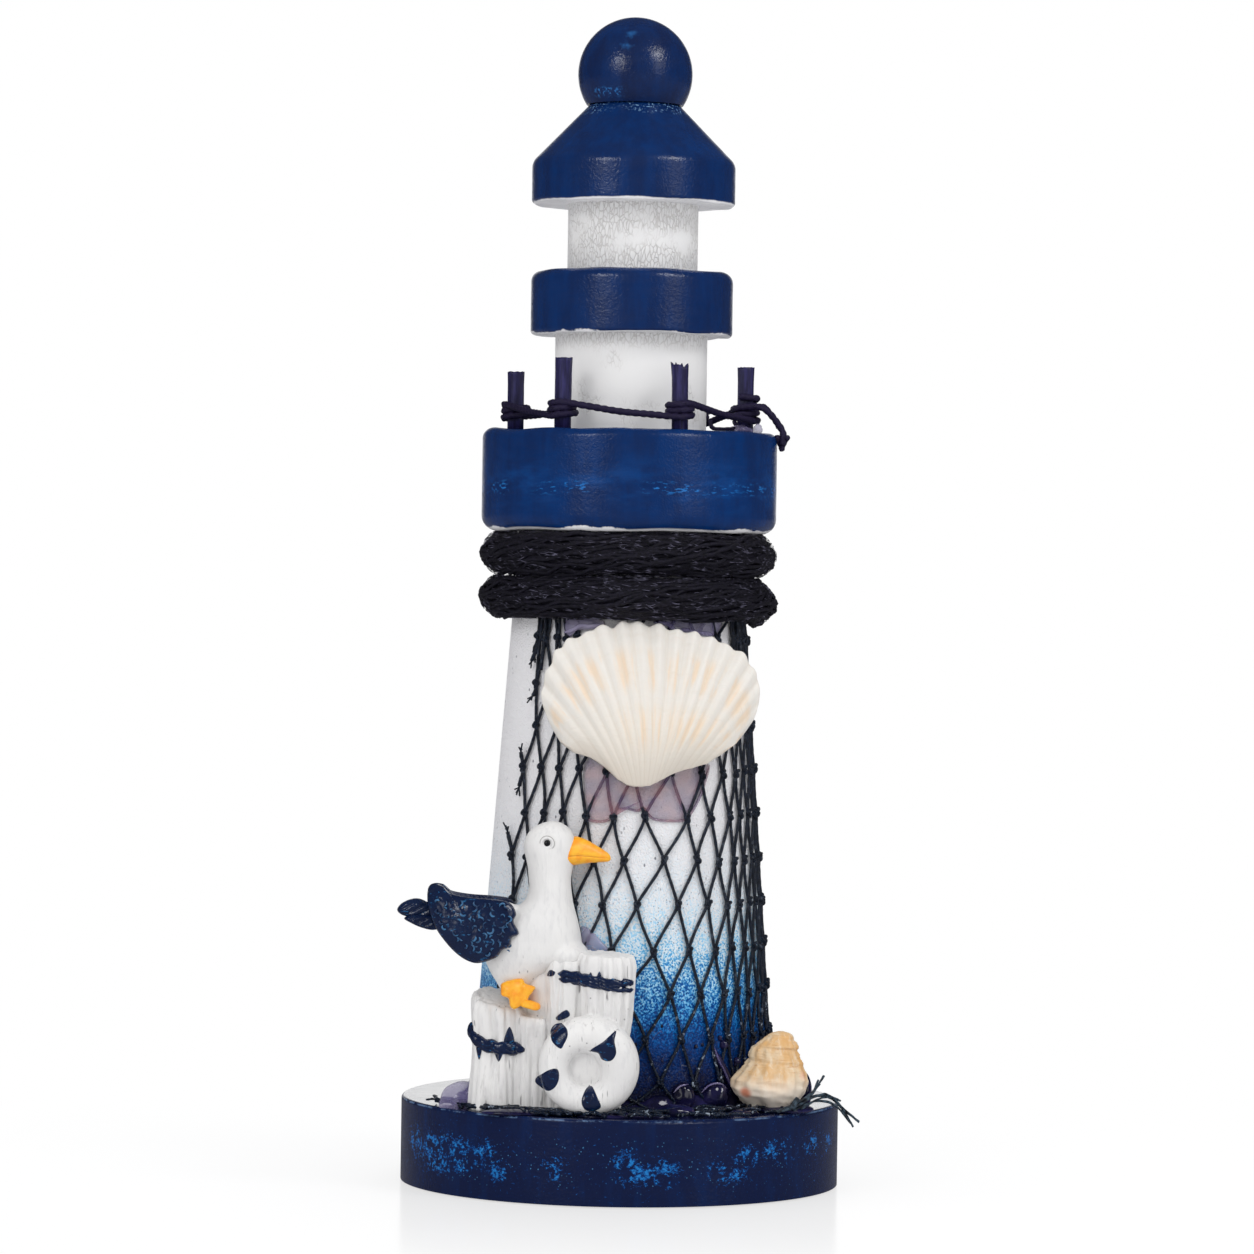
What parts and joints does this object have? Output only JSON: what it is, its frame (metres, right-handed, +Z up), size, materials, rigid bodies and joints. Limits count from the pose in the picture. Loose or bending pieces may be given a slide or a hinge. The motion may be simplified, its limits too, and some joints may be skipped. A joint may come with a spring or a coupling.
{
  "type": "lighthouse ornament",
  "caption": "Turned wooden lighthouse ornament with rope, net, shells and a cast gull, and a battery lamp in its lantern worked by a slide switch under the base.",
  "frame": {"origin": "centre of the base's underside, on the table", "axes": "+Z up along the tower's axis, -Y is the front with the gull and the scallop, +X is to the right seen from the front"},
  "size_m": [0.094, 0.094, 0.2501],
  "materials": {
    "navy_wood": "gloss navy paint, scuffed at the edges",
    "ombre_wood": "white paint fading to deep blue at the foot",
    "crackle_wood": "white crackle paint",
    "crackle_opal": "white crackle paint on opal tube",
    "post_wood": "dark stain",
    "bare_wood": "bare",
    "navy_twine": "twisted cotton twine",
    "dark_rope": "soft laid rope",
    "net_twine": "knotted net twine",
    "shell": "natural shell",
    "whelk": "natural shell",
    "hot_glue": "clear hot glue",
    "cast_resin": "painted cast resin",
    "black_plastic": "fine moulded grain",
    "cell_jacket": "plain printed jacket",
    "switch_plastic": "moulded",
    "white_plastic": "moulded",
    "lamp_lens": "clear warm-white lamp",
    "zinc_steel": "zinc plated",
    "red_wire": "wire insulation",
    "black_wire": "wire insulation"
  },
  "bodies": {
    "lighthouse": {"base_disc": "navy_wood", "tower": "ombre_wood", "gallery_disc": "navy_wood", "lower_drum": "crackle_wood", "middle_ring": "navy_wood", "stem_tube": "zinc_steel", "lantern_tube": "crackle_opal", "roof": "navy_wood", "finial_ball": "navy_wood", "finial_dowel": "bare_wood", "rail_twine": "navy_twine", "rope_wrap": "dark_rope", "fishing_net": "net_twine", "scallop_shell": "shell", "scallop_glue": "hot_glue", "whelk_shell": "whelk", "whelk_glue": "hot_glue", "gull_figurine": "cast_resin", "battery_case": "black_plastic", "battery_cell_1": "cell_jacket", "battery_cell_2": "cell_jacket", "contact_bridge": "zinc_steel", "contact_positive": "zinc_steel", "contact_negative": "zinc_steel", "contact_springs": "zinc_steel", "switch_body": "switch_plastic", "case_screws": "zinc_steel", "tower_screws": "zinc_steel", "led_holder": "white_plastic", "led_lamp": "lamp_lens", "led_leads": "zinc_steel", "wire_red": "red_wire", "wire_black": "black_wire", "rail_post_1": "post_wood", "rail_post_2": "post_wood", "rail_post_3": "post_wood", "rail_post_4": "post_wood", "rail_post_5": "post_wood", "rail_post_6": "post_wood"},
    "battery_door": {"battery_door": "black_plastic"},
    "switch_knob": {"switch_knob": "switch_plastic"}
  },
  "joints": [
    {"name": "door_hinge", "type": "hinge", "parent": "lighthouse", "child": "battery_door", "pos_m": [-0.0325, 0, 0.002], "axis": [0, 1, 0], "range_deg": [0, 90]},
    {"name": "knob_slide", "type": "slide", "parent": "lighthouse", "child": "switch_knob", "axis": [0, 1, 0], "range_m": [0, 0.002]}
  ]
}
